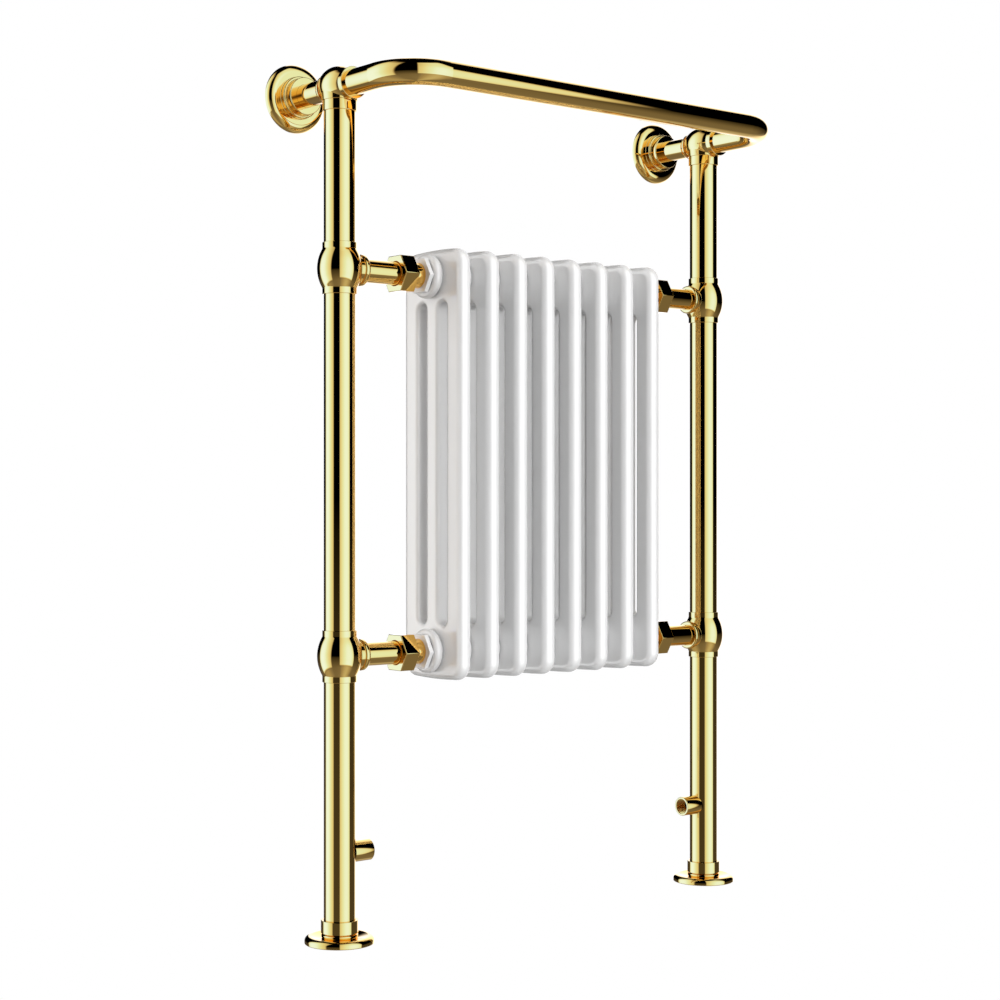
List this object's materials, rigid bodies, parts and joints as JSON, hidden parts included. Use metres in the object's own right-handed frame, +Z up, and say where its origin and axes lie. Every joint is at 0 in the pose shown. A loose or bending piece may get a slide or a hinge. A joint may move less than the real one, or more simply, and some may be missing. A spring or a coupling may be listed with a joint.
{
  "type": "freestanding towel radiator",
  "caption": "Traditional towel radiator: polished gold tube frame on floor feet with wall stays and a U-shaped front rail, around a white column radiator insert.",
  "frame": {"origin": "on the floor, under the middle of the overall box", "axes": "+X along the width from the left post to the right post, +Y towards the wall, +Z up"},
  "size_m": [0.62, 0.223, 0.9515],
  "materials": {
    "polished_gold": "mirror-polished gold plate on brass",
    "white_enamel": "gloss white enamel on cast metal",
    "zinc_steel": "zinc-plated steel",
    "nipple_iron": "bare malleable iron",
    "seal_rubber": "black rubber"
  },
  "bodies": {
    "frame": {"towel_rail": "polished_gold", "left_foot_plate": "zinc_steel", "left_lower_post_tube": "polished_gold", "left_middle_post_tube": "polished_gold", "left_upper_post_tube": "polished_gold", "left_corner_fitting": "polished_gold", "left_wall_stay": "polished_gold", "left_valve_spigot": "polished_gold", "left_wall_plate": "zinc_steel", "left_lower_ball_tee": "polished_gold", "left_lower_link_tube": "polished_gold", "left_lower_union_tail": "polished_gold", "left_lower_hex_bush": "white_enamel", "left_upper_ball_tee": "polished_gold", "left_upper_link_tube": "polished_gold", "left_upper_union_tail": "polished_gold", "left_upper_hex_bush": "white_enamel", "right_foot_plate": "zinc_steel", "right_lower_post_tube": "polished_gold", "right_middle_post_tube": "polished_gold", "right_upper_post_tube": "polished_gold", "right_corner_fitting": "polished_gold", "right_wall_stay": "polished_gold", "right_valve_spigot": "polished_gold", "right_wall_plate": "zinc_steel", "right_lower_ball_tee": "polished_gold", "right_lower_link_tube": "polished_gold", "right_lower_union_tail": "polished_gold", "right_lower_hex_bush": "white_enamel", "right_upper_ball_tee": "polished_gold", "right_upper_link_tube": "polished_gold", "right_upper_union_tail": "polished_gold", "right_upper_hex_bush": "white_enamel", "union_washers": "seal_rubber", "bush_gaskets": "seal_rubber", "drain_plugs": "polished_gold", "air_vent": "polished_gold", "section_1": "white_enamel", "section_2": "white_enamel", "section_3": "white_enamel", "section_4": "white_enamel", "section_5": "white_enamel", "section_6": "white_enamel", "section_7": "white_enamel", "section_8": "white_enamel", "section_nipples": "nipple_iron"},
    "left_foot_rosette": {"left_foot_rosette": "polished_gold"},
    "left_wall_rosette": {"left_wall_rosette": "polished_gold"},
    "right_foot_rosette": {"right_foot_rosette": "polished_gold"},
    "right_wall_rosette": {"right_wall_rosette": "polished_gold"},
    "left_lower_union_nut": {"left_lower_union_nut": "polished_gold"},
    "left_upper_union_nut": {"left_upper_union_nut": "polished_gold"},
    "right_lower_union_nut": {"right_lower_union_nut": "polished_gold"},
    "right_upper_union_nut": {"right_upper_union_nut": "polished_gold"},
    "bleed_pin": {"bleed_pin": "zinc_steel"}
  },
  "joints": [
    {"name": "left_foot_rosette_lift", "type": "slide", "parent": "frame", "child": "left_foot_rosette", "axis": [0, 0, 1], "range_m": [0, 0.055]},
    {"name": "left_wall_rosette_slide", "type": "slide", "parent": "frame", "child": "left_wall_rosette", "axis": [0, -1, 0], "range_m": [0, 0.035]},
    {"name": "left_lower_union_nut_turn", "type": "hinge", "parent": "frame", "child": "left_lower_union_nut", "pos_m": [-0.1928, 0.0225, 0.306], "axis": [-1, 0, 0], "continuous": true},
    {"name": "left_upper_union_nut_turn", "type": "hinge", "parent": "frame", "child": "left_upper_union_nut", "pos_m": [-0.1928, 0.0225, 0.7195], "axis": [-1, 0, 0], "continuous": true},
    {"name": "right_foot_rosette_lift", "type": "slide", "parent": "frame", "child": "right_foot_rosette", "axis": [0, 0, 1], "range_m": [0, 0.055]},
    {"name": "right_wall_rosette_slide", "type": "slide", "parent": "frame", "child": "right_wall_rosette", "axis": [0, -1, 0], "range_m": [0, 0.035]},
    {"name": "right_lower_union_nut_turn", "type": "hinge", "parent": "frame", "child": "right_lower_union_nut", "pos_m": [0.1928, 0.0225, 0.306], "axis": [1, 0, 0], "continuous": true},
    {"name": "right_upper_union_nut_turn", "type": "hinge", "parent": "frame", "child": "right_upper_union_nut", "pos_m": [0.1928, 0.0225, 0.7195], "axis": [1, 0, 0], "continuous": true},
    {"name": "bleed_pin_turn", "type": "hinge", "parent": "frame", "child": "bleed_pin", "pos_m": [-0.2725, 0.0477, 0.7195], "axis": [0, 1, 0], "range_deg": [0, 360]}
  ]
}
